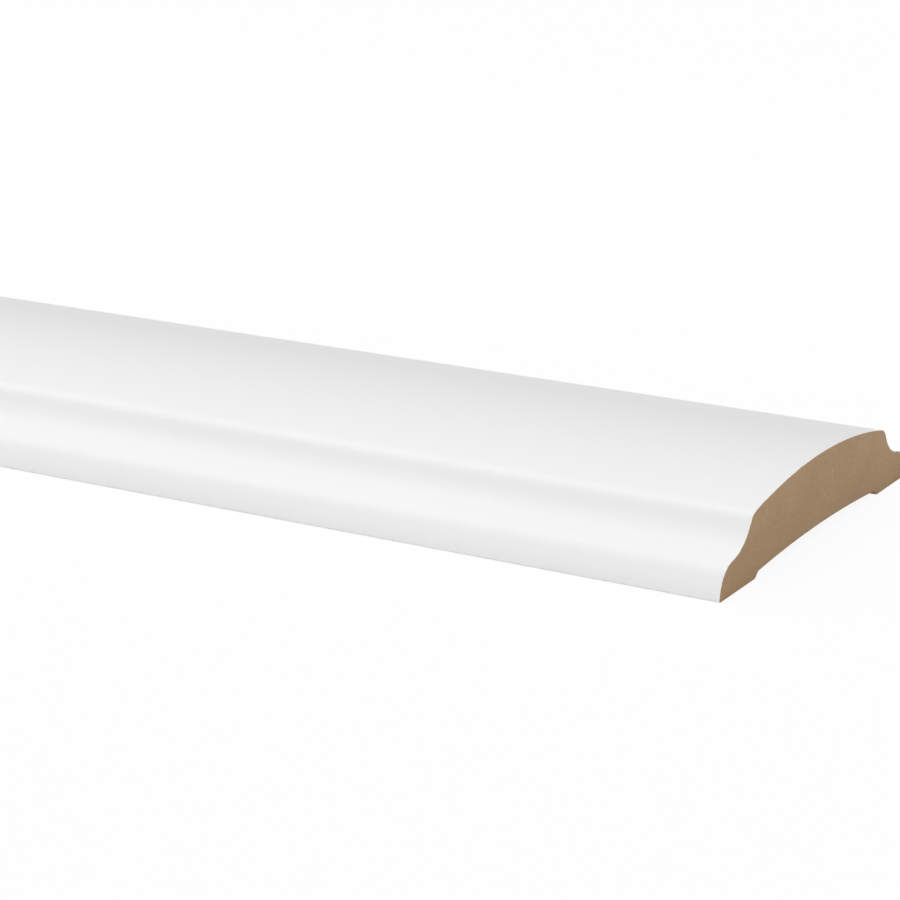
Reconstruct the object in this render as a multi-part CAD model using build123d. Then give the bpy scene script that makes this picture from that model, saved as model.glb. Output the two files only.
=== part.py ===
from build123d import *
import math
import os

# Door architrave: one length of machined MDF moulding, lying face up on its back.
# X runs along the length, Y across the face and Z out of the wall. The origin is the
# middle of the back plane. Sizes are in millimetres.

# Stock size
length = 2200.0
width = 70.0
thickness = 12.0  # back plane to the crest of the bowed face

# Face, from either long edge to the middle
edge_flat = 0.2  # upright strip between the eased back arris and the nose
nose_radius = 4.2  # round on the outer corner of the lip
lip_slope = 6.0  # degrees by which the lip falls to its edge where nose and cove meet
cove_radius = 7.4  # hollow curve that rises from the lip
shoulder_radius = 3.1  # round that turns the cove over into the bow
bow_radius = 120.0  # arched middle of the face

# Back, relieved so that only a foot along each edge bears on the wall
foot_width = 11.8
relief_step = 0.8  # height of the relief just inside each foot
step_run = 1.0  # how far that step leans inwards as it rises
relief_rise = 0.8  # further rise of the relief from its sides to its middle
relief_corner_radius = 0.6  # cutter's radius where the step meets the relief
arris_radius = 0.3  # eased outer edge of each foot

half_width = width / 2
nose_start = arris_radius + edge_flat


def upper_crossing(centre_a, radius_a, centre_b, radius_b):
    """The upper of the two points where two circles cross."""
    between = centre_b - centre_a
    along = (radius_a**2 - radius_b**2 + between.length**2) / (2 * between.length)
    aside = math.sqrt(radius_a**2 - along**2)
    direction = between.normalized()
    square = Vector(-direction.Y, direction.X)
    return centre_a + direction * along + square * aside


def face_slopes():
    """Slopes, in degrees, where the shoulder takes over from the cove and hands over to the bow."""
    nose_centre = Vector(nose_radius - half_width, nose_start)
    square_to_lip = Vector(0, 1).rotate(Axis.Z, lip_slope)
    cove_centre = nose_centre + square_to_lip * (nose_radius + cove_radius)
    bow_centre = Vector(0, thickness - bow_radius)
    shoulder_centre = upper_crossing(
        cove_centre,
        cove_radius + shoulder_radius,
        bow_centre,
        bow_radius - shoulder_radius,
    )
    from_cove = shoulder_centre - cove_centre
    from_bow = shoulder_centre - bow_centre
    cove_end = math.degrees(math.atan2(from_cove.X, -from_cove.Y))
    bow_start = math.degrees(math.atan2(-from_bow.X, from_bow.Y))
    return cove_end, bow_start


def half_section():
    """Outline of one half of the section, from the middle of the back round to the crest."""
    cove_end, bow_start = face_slopes()
    foot_inner = half_width - foot_width
    relief_half = foot_inner - step_run
    relief_radius = (relief_half**2 + relief_rise**2) / (2 * relief_rise)
    relief_turn = math.degrees(math.asin(relief_half / relief_radius))
    relief_middle = (0, relief_step + relief_rise)
    with BuildSketch() as half:
        with BuildLine():
            relief = JernArc(relief_middle, (-1, 0), relief_radius, relief_turn)
            step = Line(relief @ 1, (-foot_inner, 0))
            foot = Line(step @ 1, (arris_radius - half_width, 0))
            arris = JernArc(foot @ 1, foot % 1, arris_radius, -90)
            edge = Line(arris @ 1, (-half_width, nose_start))
            nose = JernArc(edge @ 1, edge % 1, nose_radius, lip_slope - 90)
            cove = JernArc(nose @ 1, nose % 1, cove_radius, cove_end - lip_slope)
            shoulder = JernArc(cove @ 1, cove % 1, shoulder_radius, bow_start - cove_end)
            bow = JernArc(shoulder @ 1, shoulder % 1, bow_radius, -bow_start)
            Line(bow @ 1, relief @ 0)
        make_face()
        fillet(half.vertices().sort_by_distance(relief @ 1)[0], relief_corner_radius)
    return half.sketch


def architrave():
    """The half section, mirrored about its middle and run along the length."""
    front_half = half_section()
    section = front_half + mirror(front_half, about=Plane.YZ)
    return extrude(Plane.YZ * section, length / 2, both=True)


os.makedirs("parts", exist_ok=True)
export_step(architrave(), "parts/architrave.step")
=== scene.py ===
import math

import bmesh
import bpy
from mathutils import Matrix, Vector


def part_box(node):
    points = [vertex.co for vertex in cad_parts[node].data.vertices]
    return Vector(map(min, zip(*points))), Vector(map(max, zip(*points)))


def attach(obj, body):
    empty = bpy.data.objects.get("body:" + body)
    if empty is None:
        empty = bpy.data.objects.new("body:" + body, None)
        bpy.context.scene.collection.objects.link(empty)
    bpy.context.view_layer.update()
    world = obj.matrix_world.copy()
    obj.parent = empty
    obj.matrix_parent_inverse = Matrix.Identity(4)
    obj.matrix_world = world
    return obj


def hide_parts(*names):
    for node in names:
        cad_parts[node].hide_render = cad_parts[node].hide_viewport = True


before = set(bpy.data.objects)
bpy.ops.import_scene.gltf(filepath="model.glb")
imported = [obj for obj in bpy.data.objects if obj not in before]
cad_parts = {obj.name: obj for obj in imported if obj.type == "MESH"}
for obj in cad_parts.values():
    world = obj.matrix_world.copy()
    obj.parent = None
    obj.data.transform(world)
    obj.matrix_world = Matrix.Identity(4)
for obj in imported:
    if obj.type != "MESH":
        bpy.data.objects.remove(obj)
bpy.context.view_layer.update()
lowCorner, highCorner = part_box("architrave")
mm = 0.001
closeBy = 0.01 * mm  # points nearer than this count as one
print("frame loaded, architrave from", tuple(lowCorner), "to", tuple(highCorner))


# Small helpers

def hexColour(code):
    channels = [int(code[i:i + 2], 16) / 255 for i in (1, 3, 5)]
    linear = [c / 12.92 if c <= 0.04045 else ((c + 0.055) / 1.055) ** 2.4 for c in channels]
    return (*linear, 1.0)


def inMetres(sizes):
    return [size * mm for size in sizes]


def inRadians(angles):
    return [math.radians(angle) for angle in angles]


def addNode(tree, nodeType, settings=None, inputs=None):
    node = tree.nodes.new(nodeType)
    for name, value in (settings or {}).items():
        setattr(node, name, value)
    for name, value in (inputs or {}).items():
        if isinstance(value, bpy.types.NodeSocket):
            tree.links.new(value, node.inputs[name])
        else:
            node.inputs[name].default_value = value
    return node


# a Mix node's sockets share their names, so they go by number: two colours or two numbers and their mix
colourA, colourB, colourMix = 6, 7, 2
numberA, numberB, numberMix = 2, 3, 0


def newMaterial(name):
    material = bpy.data.materials.new(name)
    material.use_nodes = True
    material.node_tree.nodes.clear()
    return material, material.node_tree


def pick(piece, kind, wanted):
    bpy.ops.mesh.select_mode(type=kind)
    bpy.ops.mesh.select_all(action="DESELECT")
    mesh = bmesh.from_edit_mesh(piece.data)
    elements = {"VERT": mesh.verts, "EDGE": mesh.edges, "FACE": mesh.faces}[kind]
    for element in elements:
        if wanted(element):
            element.select_set(True)
    mesh.select_flush_mode()
    bmesh.update_edit_mesh(piece.data)


facing = 0.7  # share of a face's normal along a direction, past which the face looks that way


def looksAlong(face):
    return abs(face.normal.x) > facing


def looksDown(face):
    return face.normal.z < -facing


# Camera: solved from the long edges and the sawn end of the moulding in the photo

photoView = {
    "frameSize": 900,  # pixels
    "focalPixels": 2622.3,
    "elevation": 15.536,  # degrees above the floor
    "azimuth": 28.495,  # degrees round from the moulding's front towards its near end
    "roll": 1.309,
    "cornerPixel": (719.46, 603.36),  # front bottom corner of the near end
    "cornerDepth": 334.87,  # mm from the camera, along its view
    "sensorWidth": 36.0,
    "clip": (0.01, 1000.0),  # metres
}


def placeCamera(view):
    elevation = math.radians(view["elevation"])
    azimuth = math.radians(view["azimuth"])
    back = Vector((
        math.sin(azimuth) * math.cos(elevation),
        -math.cos(azimuth) * math.cos(elevation),
        math.sin(elevation),
    ))
    level = Vector((math.cos(azimuth), math.sin(azimuth), 0))
    turn = Matrix.Rotation(math.radians(view["roll"]), 3, back)
    right = turn @ level
    up = back.cross(right)
    middle = view["frameSize"] / 2
    depth = view["cornerDepth"] * mm
    across = (view["cornerPixel"][0] - middle) / view["focalPixels"] * depth
    above = (middle - view["cornerPixel"][1]) / view["focalPixels"] * depth
    nearCorner = Vector((highCorner.x, lowCorner.y, lowCorner.z))
    place = nearCorner - across * right - above * up + depth * back
    bpy.ops.object.camera_add(location=place)
    camera = bpy.context.object
    camera.rotation_euler = Matrix((right, up, back)).transposed().to_euler()
    camera.data.sensor_width = view["sensorWidth"]
    camera.data.lens = view["focalPixels"] / view["frameSize"] * view["sensorWidth"]
    camera.data.clip_start, camera.data.clip_end = view["clip"]
    bpy.context.scene.camera = camera
    print("camera at", tuple(round(c, 4) for c in place))


bpy.ops.object.select_all(action="DESELECT")
placeCamera(photoView)


# Paint

paintLook = {
    "colour": "#F0F0F0",
    "tint": "#EDEDED",
    "cloudSize": 45.0,  # mm, slow drift in tone and sheen
    "ior": 1.5,
    "roughLow": 0.37,
    "roughHigh": 0.43,
    "peelSize": 1.8,  # mm, orange peel
    "peelHeight": 0.003,
    "line": (160.0, 0.7, 0.7),  # mm, faint sanding lines along the length
    "lineHeight": 0.002,
    "chipSize": 0.8,  # mm, where the saw has lifted the edge of the film
    "chipDepth": 0.1,
    "chipNoise": (0.45, 0.75),  # levels of noise where a chip starts and where it is at its deepest
    "bare": "#B89874",
    "bareRough": 0.9,
}


# Satin acrylic paint, sprayed on sanded MDF: white, even, a soft sheen with barely seen orange
# peel and sanding lines along the length, and a slightly frayed edge at the saw cuts
def makeSatinPaint(look):
    material, tree = newMaterial("satinPaintOnMdf")
    place = addNode(tree, "ShaderNodeTexCoord").outputs["Object"]
    cloud = addNode(tree, "ShaderNodeTexNoise", None, {
        "Vector": place, "Scale": 1 / (look["cloudSize"] * mm), "Detail": 2.0,
    })
    tone = addNode(tree, "ShaderNodeMix", {"data_type": "RGBA"}, {
        "Factor": cloud.outputs["Fac"],
        colourA: hexColour(look["colour"]), colourB: hexColour(look["tint"]),
    })
    sheen = addNode(tree, "ShaderNodeMapRange", None, {
        "Value": cloud.outputs["Fac"], "To Min": look["roughLow"], "To Max": look["roughHigh"],
    })

    # the film stops up to chipDepth short of the saw cut
    parts = addNode(tree, "ShaderNodeSeparateXYZ", None, {"Vector": place})
    along = addNode(tree, "ShaderNodeMath", {"operation": "ABSOLUTE"}, {0: parts.outputs["X"]})
    chips = addNode(tree, "ShaderNodeTexNoise", None, {
        "Vector": place, "Scale": 1 / (look["chipSize"] * mm), "Detail": 3.0,
    })
    chipStart, chipFull = look["chipNoise"]
    filmEnd = addNode(tree, "ShaderNodeMapRange", None, {
        "Value": chips.outputs["Fac"], "From Min": chipStart, "From Max": chipFull,
        "To Min": highCorner.x, "To Max": highCorner.x - look["chipDepth"] * mm,
    })
    chipped = addNode(tree, "ShaderNodeMath", {"operation": "GREATER_THAN"}, {
        0: along.outputs["Value"], 1: filmEnd.outputs["Result"],
    })
    colour = addNode(tree, "ShaderNodeMix", {"data_type": "RGBA"}, {
        "Factor": chipped.outputs["Value"],
        colourA: tone.outputs[colourMix], colourB: hexColour(look["bare"]),
    })
    rough = addNode(tree, "ShaderNodeMix", {"data_type": "FLOAT"}, {
        "Factor": chipped.outputs["Value"],
        numberA: sheen.outputs["Result"], numberB: look["bareRough"],
    })

    sanding = addNode(tree, "ShaderNodeMapping", {"vector_type": "TEXTURE"}, {
        "Vector": place, "Scale": inMetres(look["line"]),
    })
    lines = addNode(tree, "ShaderNodeTexNoise", None, {
        "Vector": sanding.outputs["Vector"], "Scale": 1.0, "Detail": 3.0,
    })
    lineBump = addNode(tree, "ShaderNodeBump", None, {
        "Height": lines.outputs["Fac"], "Distance": look["lineHeight"] * mm,
    })
    peel = addNode(tree, "ShaderNodeTexNoise", None, {
        "Vector": place, "Scale": 1 / (look["peelSize"] * mm), "Detail": 1.0,
    })
    peelBump = addNode(tree, "ShaderNodeBump", None, {
        "Height": peel.outputs["Fac"], "Distance": look["peelHeight"] * mm,
        "Normal": lineBump.outputs["Normal"],
    })
    shader = addNode(tree, "ShaderNodeBsdfPrincipled", None, {
        "Base Color": colour.outputs[colourMix], "Roughness": rough.outputs[numberMix],
        "IOR": look["ior"], "Normal": peelBump.outputs["Normal"],
    })
    addNode(tree, "ShaderNodeOutputMaterial", None, {"Surface": shader.outputs["BSDF"]})
    return material


# Bare board

sawnLook = {
    "pale": "#C2A27E",
    "deep": "#A98B69",
    "cloudSize": 9.0,  # mm, slow drift in tone
    "cloudShare": 0.6,
    "fibre": (1.2, 1.1, 0.3),  # mm along X, Y and Z: fibres lie flat, drawn coarser than they are
    "fibreShare": 1.1,
    "fibreHeight": 0.014,
    "heightShift": 0.12,  # a shade darker towards the bottom, lighter towards the top
    "fleckTurn": (0, -90, 0),  # degrees, stands the fleck pattern up on the end
    "fleckCell": (2.8, 1.7, 1.0),  # mm up the end and across it
    "splinter": "#D6BA94",
    "speck": "#7E6249",
    "roughLow": 0.84,
    "roughHigh": 0.95,
    "blade": (6.0, 0.45, 9.0),  # mm, blade marks run up the end
    "bladeLean": (8, 0, 0),
    "bladeHeight": 0.008,
}
backLook = {
    "pale": "#C2A079",
    "deep": "#A58562",
    "cloudSize": 22.0,
    "cloudShare": 0.7,
    "fibre": (2.4, 0.5, 0.3),
    "fibreShare": 0.9,
    "fibreHeight": 0.005,
    "heightShift": 0.12,
    "fleckTurn": (0, 0, 0),
    "fleckCell": (3.4, 1.5, 1.0),  # mm along the back and across it
    "splinter": "#D3B68F",
    "speck": "#7E6249",
    "roughLow": 0.7,
    "roughHigh": 0.82,
    "score": (240.0, 0.5, 0.5),  # mm, score lines that nicked knives leave along the length
    "scoreHeight": 0.004,
    "knifePitch": 1.5,  # mm between the planer's knife marks
    "knifeHeight": 0.003,
    "sprayReach": 1.3,  # mm of the foot that caught the paint
    "sprayEdge": 0.9,
    "sprayNoise": (0.25, 0.75),  # levels of noise where the paint reaches furthest and not at all
}
fleckLook = {
    "kinds": {  # channel of a cell's random colour that places it, how rare it is, its radius in cells
        "splinter": ("Red", 0.88, 0.15),
        "speck": ("Green", 0.84, 0.08),
    },
    "core": 0.3,  # share of the radius that has the full colour
    "onset": 0.06,  # step past the rarity over which a fleck comes up to its strength
    "strength": 0.5,
}


# Medium-density fibreboard: a tan felt of fine fibres, with a few pale splinters and dark specks of bark
def boardFelt(tree, place, look):
    cloud = addNode(tree, "ShaderNodeTexNoise", None, {
        "Vector": place, "Scale": 1 / (look["cloudSize"] * mm), "Detail": 3.0,
    })
    felt = addNode(tree, "ShaderNodeMapping", {"vector_type": "TEXTURE"}, {
        "Vector": place, "Scale": inMetres(look["fibre"]),
    })
    fibre = addNode(tree, "ShaderNodeTexNoise", None, {
        "Vector": felt.outputs["Vector"], "Scale": 1.0, "Detail": 4.0, "Roughness": 0.65,
    })

    # noise at its middle gives the middle tone
    level = 0.5 - (look["cloudShare"] + look["fibreShare"]) / 2
    parts = addNode(tree, "ShaderNodeSeparateXYZ", None, {"Vector": place})
    # tone a shade darker towards the bottom of the moulding and lighter towards its top
    heightTone = addNode(tree, "ShaderNodeMapRange", None, {
        "Value": parts.outputs["Z"], "From Min": lowCorner.z, "From Max": highCorner.z,
        "To Min": level + look["heightShift"], "To Max": level - look["heightShift"],
    })
    fibreTone = addNode(tree, "ShaderNodeMath", {"operation": "MULTIPLY_ADD"}, {
        0: fibre.outputs["Fac"], 1: look["fibreShare"], 2: heightTone.outputs["Result"],
    })
    depth = addNode(tree, "ShaderNodeMath", {"operation": "MULTIPLY_ADD", "use_clamp": True}, {
        0: cloud.outputs["Fac"], 1: look["cloudShare"], 2: fibreTone.outputs["Value"],
    })
    tone = addNode(tree, "ShaderNodeMix", {"data_type": "RGBA"}, {
        "Factor": depth.outputs["Value"],
        colourA: hexColour(look["pale"]), colourB: hexColour(look["deep"]),
    })

    # a splinter or a speck lies in a few of the cells
    spread = addNode(tree, "ShaderNodeMapping", {"vector_type": "TEXTURE"}, {
        "Vector": place, "Rotation": inRadians(look["fleckTurn"]), "Scale": inMetres(look["fleckCell"]),
    })
    cells = addNode(tree, "ShaderNodeTexVoronoi", {"voronoi_dimensions": "2D"}, {
        "Vector": spread.outputs["Vector"], "Scale": 1.0,
    })
    chance = addNode(tree, "ShaderNodeSeparateColor", None, {"Color": cells.outputs["Color"]})
    colour = tone.outputs[colourMix]
    for kind, (channel, rare, radius) in fleckLook["kinds"].items():
        spot = addNode(tree, "ShaderNodeMapRange", None, {
            "Value": cells.outputs["Distance"],
            "From Min": radius * fleckLook["core"], "From Max": radius, "To Min": 1.0, "To Max": 0.0,
        })
        here = addNode(tree, "ShaderNodeMapRange", None, {
            "Value": chance.outputs[channel],
            "From Min": rare, "From Max": rare + fleckLook["onset"], "To Max": fleckLook["strength"],
        })
        share = addNode(tree, "ShaderNodeMath", {"operation": "MULTIPLY"}, {
            0: spot.outputs["Result"], 1: here.outputs["Result"],
        })
        mixed = addNode(tree, "ShaderNodeMix", {"data_type": "RGBA"}, {
            "Factor": share.outputs["Value"], colourA: colour, colourB: hexColour(look[kind]),
        })
        colour = mixed.outputs[colourMix]
    return colour, fibre.outputs["Fac"]


# The felt cut across by a saw: matt, with short fibres standing in the cut and faint blade marks
def makeSawnBoard(look):
    material, tree = newMaterial("rawMdfSawn")
    place = addNode(tree, "ShaderNodeTexCoord").outputs["Object"]
    colour, fibre = boardFelt(tree, place, look)
    rough = addNode(tree, "ShaderNodeMapRange", None, {
        "Value": fibre, "To Min": look["roughLow"], "To Max": look["roughHigh"],
    })
    lean = addNode(tree, "ShaderNodeMapping", {"vector_type": "TEXTURE"}, {
        "Vector": place, "Rotation": inRadians(look["bladeLean"]), "Scale": inMetres(look["blade"]),
    })
    blade = addNode(tree, "ShaderNodeTexNoise", None, {
        "Vector": lean.outputs["Vector"], "Scale": 1.0, "Detail": 3.0,
    })
    bladeBump = addNode(tree, "ShaderNodeBump", None, {
        "Height": blade.outputs["Fac"], "Distance": look["bladeHeight"] * mm,
    })
    fibreBump = addNode(tree, "ShaderNodeBump", None, {
        "Height": fibre, "Distance": look["fibreHeight"] * mm, "Normal": bladeBump.outputs["Normal"],
    })
    shader = addNode(tree, "ShaderNodeBsdfPrincipled", None, {
        "Base Color": colour, "Roughness": rough.outputs["Result"],
        "Normal": fibreBump.outputs["Normal"],
    })
    addNode(tree, "ShaderNodeOutputMaterial", None, {"Surface": shader.outputs["BSDF"]})
    return material


# The felt planed smooth: knife marks across it, score lines along it and stray paint beside its edges
def makeMilledBoard(look):
    material, tree = newMaterial("rawMdfMilled")
    place = addNode(tree, "ShaderNodeTexCoord").outputs["Object"]
    colour, fibre = boardFelt(tree, place, look)
    rough = addNode(tree, "ShaderNodeMapRange", None, {
        "Value": fibre, "To Min": look["roughLow"], "To Max": look["roughHigh"],
    })

    parts = addNode(tree, "ShaderNodeSeparateXYZ", None, {"Vector": place})
    across = addNode(tree, "ShaderNodeMath", {"operation": "ABSOLUTE"}, {0: parts.outputs["Y"]})
    ragged = addNode(tree, "ShaderNodeTexNoise", None, {
        "Vector": place, "Scale": 1 / (look["sprayEdge"] * mm), "Detail": 3.0,
    })
    sprayFull, sprayNone = look["sprayNoise"]
    sprayStart = addNode(tree, "ShaderNodeMapRange", None, {
        "Value": ragged.outputs["Fac"], "From Min": sprayFull, "From Max": sprayNone,
        "To Min": highCorner.y - look["sprayReach"] * mm, "To Max": highCorner.y,
    })
    sprayed = addNode(tree, "ShaderNodeMapRange", None, {
        "Value": across.outputs["Value"],
        "From Min": sprayStart.outputs["Result"], "From Max": highCorner.y,
    })
    painted = addNode(tree, "ShaderNodeMix", {"data_type": "RGBA"}, {
        "Factor": sprayed.outputs["Result"],
        colourA: colour, colourB: hexColour(paintLook["colour"]),
    })

    scoring = addNode(tree, "ShaderNodeMapping", {"vector_type": "TEXTURE"}, {
        "Vector": place, "Scale": inMetres(look["score"]),
    })
    scores = addNode(tree, "ShaderNodeTexNoise", None, {
        "Vector": scoring.outputs["Vector"], "Scale": 1.0, "Detail": 3.0,
    })
    scoreBump = addNode(tree, "ShaderNodeBump", None, {
        "Height": scores.outputs["Fac"], "Distance": look["scoreHeight"] * mm,
    })
    wavePitch = math.tau / 20  # metres between the bands of a wave texture at a scale of 1
    knives = addNode(tree, "ShaderNodeTexWave", {"bands_direction": "X"}, {
        "Vector": place, "Scale": wavePitch / (look["knifePitch"] * mm),
    })
    knifeBump = addNode(tree, "ShaderNodeBump", None, {
        "Height": knives.outputs["Fac"], "Distance": look["knifeHeight"] * mm,
        "Normal": scoreBump.outputs["Normal"],
    })
    fibreBump = addNode(tree, "ShaderNodeBump", None, {
        "Height": fibre, "Distance": look["fibreHeight"] * mm, "Normal": knifeBump.outputs["Normal"],
    })
    shader = addNode(tree, "ShaderNodeBsdfPrincipled", None, {
        "Base Color": painted.outputs[colourMix], "Roughness": rough.outputs["Result"],
        "Normal": fibreBump.outputs["Normal"],
    })
    addNode(tree, "ShaderNodeOutputMaterial", None, {"Surface": shader.outputs["BSDF"]})
    return material


satinPaint = makeSatinPaint(paintLook)
sawnBoard = makeSawnBoard(sawnLook)
milledBoard = makeMilledBoard(backLook)
print("paint and board materials made")


# Architrave: half the section is traced from the middle of the back round to the crest,
# drawn out along the length, mirrored and closed at both sawn ends

sectionSizes = {  # mm
    "footWidth": 11.8,
    "reliefStep": 0.8,
    "stepRun": 1.0,
    "reliefRise": 0.8,
    "reliefCorner": 0.6,
    "arris": 0.3,
    "edgeFlat": 0.2,
    "nose": 4.2,
    "lipSlope": 6.0,  # degrees, where the nose and the cove meet
    "cove": 7.4,
    "shoulder": 3.1,
    "bow": 120.0,
    "lengthSteps": 44,
    "arcStep": 3.75,  # degrees of turn between points
    "arrisSteps": 6,
    "cornerSteps": 5,
    "bowSteps": 24,
    "reliefSteps": 12,
    "smoothAngle": 30.0,  # degrees, edges that turn by more stay sharp
}


# Slopes, in degrees, where the round shoulder takes over from the cove and hands over to the bow
def faceSlopes(sizes, halfWidth, thickness):
    lipSlope = math.radians(sizes["lipSlope"])
    fromNose = sizes["nose"] + sizes["cove"]
    coveY = sizes["nose"] - halfWidth - fromNose * math.sin(lipSlope)
    coveZ = sizes["arris"] + sizes["edgeFlat"] + fromNose * math.cos(lipSlope)
    bowZ = thickness - sizes["bow"]
    reach = math.hypot(coveY, bowZ - coveZ)
    fromCove = sizes["cove"] + sizes["shoulder"]
    fromBow = sizes["bow"] - sizes["shoulder"]
    along = (fromCove ** 2 - fromBow ** 2 + reach ** 2) / (2 * reach)
    aside = math.sqrt(fromCove ** 2 - along ** 2)
    aheadY = -coveY / reach
    aheadZ = (bowZ - coveZ) / reach
    shoulderY = coveY + aheadY * along - aheadZ * aside
    shoulderZ = coveZ + aheadZ * along + aheadY * aside
    coveEnd = math.degrees(math.atan2(shoulderY - coveY, coveZ - shoulderZ))
    bowStart = math.degrees(math.atan2(-shoulderY, shoulderZ - bowZ))
    return coveEnd, bowStart


# Draws the section out of the selected point, line by line and arc by arc
class Pen:
    def __init__(self, place, heading):
        self.place = Vector(place)
        self.heading = math.radians(heading)

    def line(self, distance):
        ahead = Vector((0, math.cos(self.heading), math.sin(self.heading)))
        step = ahead * distance * mm
        bpy.ops.mesh.extrude_region_move(TRANSFORM_OT_translate={"value": step})
        self.place += step

    def turn(self, degrees):
        self.heading += math.radians(degrees)

    def arc(self, radius, degrees, steps):
        left = Vector((0, -math.sin(self.heading), math.cos(self.heading)))
        centre = self.place + left * math.copysign(radius, degrees) * mm
        angle = math.radians(degrees)
        bpy.ops.mesh.spin(steps=steps, angle=-angle, center=centre, axis=(1, 0, 0))
        self.place = centre + Matrix.Rotation(angle, 3, "X") @ (self.place - centre)
        self.turn(degrees)


def makeArchitrave(sizes):
    halfWidth = highCorner.y / mm
    thickness = highCorner.z / mm
    coveEnd, bowStart = faceSlopes(sizes, halfWidth, thickness)
    reliefHalf = halfWidth - sizes["footWidth"] - sizes["stepRun"]
    reliefTop = sizes["reliefStep"] + sizes["reliefRise"]
    reliefRadius = (reliefHalf ** 2 + sizes["reliefRise"] ** 2) / (2 * sizes["reliefRise"])
    reliefTurn = math.degrees(math.asin(reliefHalf / reliefRadius))
    stepSlope = math.degrees(math.atan2(sizes["reliefStep"], sizes["stepRun"]))
    stepLength = math.hypot(sizes["reliefStep"], sizes["stepRun"])
    cornerSetback = sizes["reliefCorner"] * math.tan(math.radians(stepSlope - reliefTurn) / 2)

    def arcSteps(degrees):
        return max(2, round(abs(degrees) / sizes["arcStep"]))

    # a small plane, merged to the one point that the pen starts from
    start = (highCorner.x, 0, reliefTop * mm)
    bpy.ops.object.select_all(action="DESELECT")
    bpy.ops.mesh.primitive_plane_add(size=mm, location=start, calc_uvs=False)
    piece = bpy.context.object
    piece.name = "architraveMoulding"
    bpy.ops.object.transform_apply(location=True, rotation=True, scale=True)
    bpy.ops.object.mode_set(mode="EDIT")
    bpy.ops.mesh.select_mode(type="VERT")
    bpy.ops.mesh.select_all(action="SELECT")
    bpy.ops.mesh.merge(type="CENTER")

    pen = Pen(start, 180)
    pen.arc(reliefRadius, reliefTurn, sizes["reliefSteps"])
    reliefCorner = pen.place.copy()
    pen.turn(stepSlope - reliefTurn)
    pen.line(stepLength)
    pen.turn(-stepSlope)
    pen.line(sizes["footWidth"] - sizes["arris"])
    pen.arc(sizes["arris"], -90, sizes["arrisSteps"])
    pen.line(sizes["edgeFlat"])
    noseTurn = sizes["lipSlope"] - 90
    coveTurn = coveEnd - sizes["lipSlope"]
    shoulderTurn = bowStart - coveEnd
    pen.arc(sizes["nose"], noseTurn, arcSteps(noseTurn))
    pen.arc(sizes["cove"], coveTurn, arcSteps(coveTurn))
    pen.arc(sizes["shoulder"], shoulderTurn, arcSteps(shoulderTurn))
    pen.arc(sizes["bow"], -bowStart, sizes["bowSteps"])
    print("section traced, crest at", tuple(round(c / mm, 4) for c in pen.place))

    # the cutter's round where the step meets the relief
    pick(piece, "VERT", lambda v: (v.co - reliefCorner).length < closeBy)
    bpy.ops.mesh.bevel(affect="VERTICES", offset=cornerSetback * mm, segments=sizes["cornerSteps"])

    bpy.ops.mesh.select_all(action="SELECT")
    stride = (lowCorner.x - highCorner.x) / sizes["lengthSteps"]
    for _ in range(sizes["lengthSteps"]):
        bpy.ops.mesh.extrude_region_move(TRANSFORM_OT_translate={"value": (stride, 0, 0)})
    bpy.ops.object.mode_set(mode="OBJECT")

    mirror = piece.modifiers.new("otherHalf", "MIRROR")
    mirror.use_axis = (False, True, False)
    mirror.merge_threshold = closeBy
    bpy.ops.object.modifier_apply(modifier="otherHalf")

    bpy.ops.object.mode_set(mode="EDIT")
    for endX in (lowCorner.x, highCorner.x):
        pick(piece, "EDGE", lambda e: all(abs(v.co.x - endX) < closeBy for v in e.verts))
        bpy.ops.mesh.edge_face_add()
    bpy.ops.mesh.select_all(action="SELECT")
    bpy.ops.mesh.remove_doubles(threshold=closeBy)
    bpy.ops.mesh.normals_make_consistent(inside=False)
    print("skin drawn out, mirrored and closed")

    # paint on the face and the edges, bare board on the sawn ends and the back
    for material in (satinPaint, sawnBoard, milledBoard):
        piece.data.materials.append(material)
    for slotIndex, belongs in ((1, looksAlong), (2, looksDown)):
        pick(piece, "FACE", belongs)
        piece.active_material_index = slotIndex
        bpy.ops.object.material_slot_assign()
    bpy.ops.object.mode_set(mode="OBJECT")
    bpy.ops.object.shade_smooth_by_angle(angle=math.radians(sizes["smoothAngle"]))
    return piece


# Texture map: the skin lies in rows, each a stretch of the length, under them the two sawn ends, larger

skinMap = {
    "name": "OFBake",  # the map that the finishes are baked through
    "rows": 4,
    "endBand": 0.1,  # share of the map's height that the sawn ends take, side by side
    "margin": 0.004,
    "digits": 3,  # decimals of a mm by which a point is matched to the rim of the near end
}


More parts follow.
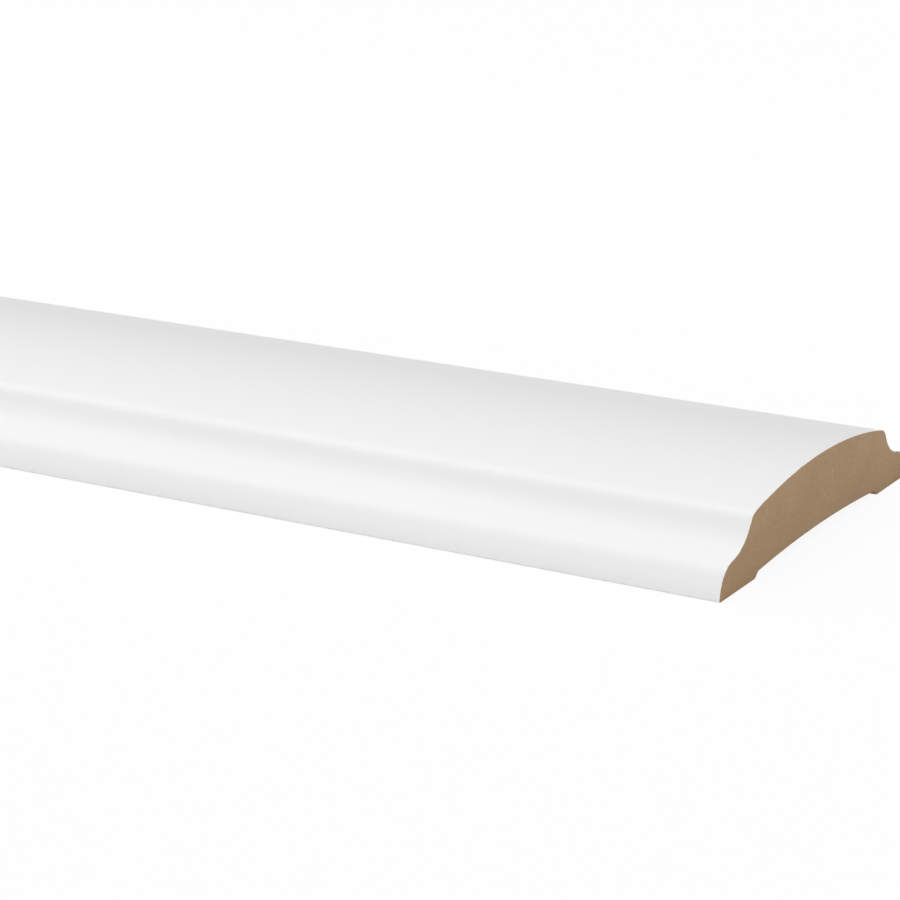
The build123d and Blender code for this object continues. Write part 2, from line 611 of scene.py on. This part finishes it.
def layOutSkin(piece, layout):
    mesh = piece.data
    skin = mesh.uv_layers.new(name=layout["name"])
    length, width, thickness = highCorner - lowCorner
    nearEnd = max(mesh.polygons, key=lambda face: face.center.x)
    rim = [mesh.vertices[index].co for index in reversed(nearEnd.vertices)]

    def spot(place):
        return round(place.y / mm, layout["digits"]), round(place.z / mm, layout["digits"])

    def inTile(left, bottom, wide, high, u, v):
        margin = layout["margin"]
        return (
            left + margin + (wide - 2 * margin) * u,
            bottom + margin + (high - 2 * margin) * v,
        )

    # how far round the section each point of the rim lies
    around = {}
    girth = 0.0
    for place, following in zip(rim, rim[1:] + rim[:1]):
        around[spot(place)] = girth
        girth += (following - place).length

    endHeight = layout["endBand"]
    endWidth = 1 / 2
    rowHeight = (1 - endHeight) / layout["rows"]
    for face in mesh.polygons:
        corners = [(loop, mesh.vertices[mesh.loops[loop].vertex_index].co) for loop in face.loop_indices]
        if looksAlong(face):
            near = face.normal.x > 0
            left = endWidth if near else 0
            for loop, place in corners:
                across = (place.y - lowCorner.y) / width
                upward = (place.z - lowCorner.z) / thickness
                rightward = across if near else 1 - across
                skin.data[loop].uv = inTile(left, 0, endWidth, endHeight, rightward, upward)
            continue
        row = int((face.center.x - lowCorner.x) / length * layout["rows"])
        bottom = endHeight + row * rowHeight
        turns = [around[spot(place)] for _, place in corners]
        closing = max(turns) - min(turns) > girth / 2  # it joins the rim's last point to its first
        for (loop, place), turn in zip(corners, turns):
            if closing and turn < girth / 2:
                turn += girth
            along = (place.x - lowCorner.x) / length * layout["rows"] - row
            skin.data[loop].uv = inTile(0, bottom, 1, rowHeight, along, turn / girth)
    print("skin laid out,", round(girth / mm, 1), "mm round")


architrave = makeArchitrave(sectionSizes)
layOutSkin(architrave, skinMap)
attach(architrave, "root")
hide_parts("architrave")
moulding = architrave.data
print("architrave modelled:", len(moulding.vertices), "vertices,", len(moulding.polygons), "faces")


# Floor and light: three long softboxes, as bright as makes a colour render about as it is written

studio = {
    "floorSize": 400.0,  # metres
    "floorColour": "#F0F0F0",
    "nearGlow": 0.92,  # share of plain white that the eye sees on the floor, the rest keeps the shadow
    "nearReach": (1.1, 0.5, 1.0),  # metres round the moulding, along X and Y, with that share
    "farReach": 2.4,  # times as far off, the floor is all white
    "worldLevel": 0.2,
}
softboxes = {  # metres and watts
    "overheadSoftbox": {"place": (0.0, 0.16, 1.29), "size": (5.0, 1.1), "power": 27.0},
    "rearSoftbox": {"place": (0.0, 0.92, 0.92), "size": (5.0, 0.55), "power": 7.3},
    "frontSoftbox": {"place": (0.0, -1.54, 0.72), "size": (5.0, 1.3), "power": 24.5},
}


def makeFloor(sizes):
    bpy.ops.object.select_all(action="DESELECT")
    bpy.ops.mesh.primitive_plane_add(size=sizes["floorSize"], location=(0, 0, lowCorner.z))
    floor = bpy.context.object
    floor.name = "studioFloor"
    bpy.ops.object.transform_apply(location=True, rotation=True, scale=True)
    material, tree = newMaterial("whiteStudioFloor")
    path = addNode(tree, "ShaderNodeLightPath")
    seen = addNode(tree, "ShaderNodeMath", {"operation": "MAXIMUM"}, {
        0: path.outputs["Is Camera Ray"], 1: path.outputs["Is Glossy Ray"],
    })
    seenAll = addNode(tree, "ShaderNodeMath", {"operation": "MAXIMUM"}, {
        0: seen.outputs["Value"], 1: path.outputs["Is Transmission Ray"],
    })
    place = addNode(tree, "ShaderNodeTexCoord").outputs["Object"]
    rings = addNode(tree, "ShaderNodeMapping", {"vector_type": "TEXTURE"}, {
        "Vector": place, "Scale": sizes["nearReach"],
    })
    away = addNode(tree, "ShaderNodeVectorMath", {"operation": "LENGTH"}, {0: rings.outputs["Vector"]})
    share = addNode(tree, "ShaderNodeMapRange", {"interpolation_type": "SMOOTHSTEP"}, {
        "Value": away.outputs["Value"], "From Min": 1.0, "From Max": sizes["farReach"],
        "To Min": sizes["nearGlow"], "To Max": 1.0,
    })
    glow = addNode(tree, "ShaderNodeMath", {"operation": "MULTIPLY"}, {
        0: seenAll.outputs["Value"], 1: share.outputs["Result"],
    })
    paint = addNode(tree, "ShaderNodeBsdfDiffuse", None, {"Color": hexColour(sizes["floorColour"])})
    white = addNode(tree, "ShaderNodeEmission", None, {"Strength": 1.0})
    mixed = addNode(tree, "ShaderNodeMixShader", None, {
        0: glow.outputs["Value"], 1: paint.outputs["BSDF"], 2: white.outputs["Emission"],
    })
    addNode(tree, "ShaderNodeOutputMaterial", None, {"Surface": mixed.outputs["Shader"]})
    floor.data.materials.append(material)


def addSoftbox(name, box):
    place = Vector(box["place"])
    aim = (-place).to_track_quat("-Z", "Y")  # at the middle of the moulding
    bpy.ops.object.light_add(type="AREA", location=place, rotation=aim.to_euler())
    lamp = bpy.context.object
    lamp.name = name
    lamp.data.shape = "RECTANGLE"
    lamp.data.size, lamp.data.size_y = box["size"]
    lamp.data.energy = box["power"]
    lamp.visible_camera = False


def setWorld(level):
    world = bpy.data.worlds.new("softStudio")
    bpy.context.scene.world = world
    world.use_nodes = True
    tree = world.node_tree
    tree.nodes.clear()
    sky = addNode(tree, "ShaderNodeBackground", None, {"Color": (1, 1, 1, 1), "Strength": level})
    addNode(tree, "ShaderNodeOutputWorld", None, {"Surface": sky.outputs["Background"]})


makeFloor(studio)
for boxName, box in softboxes.items():
    addSoftbox(boxName, box)
setWorld(studio["worldLevel"])
bpy.context.scene.view_settings.view_transform = "Standard"
print("floor and lights set")
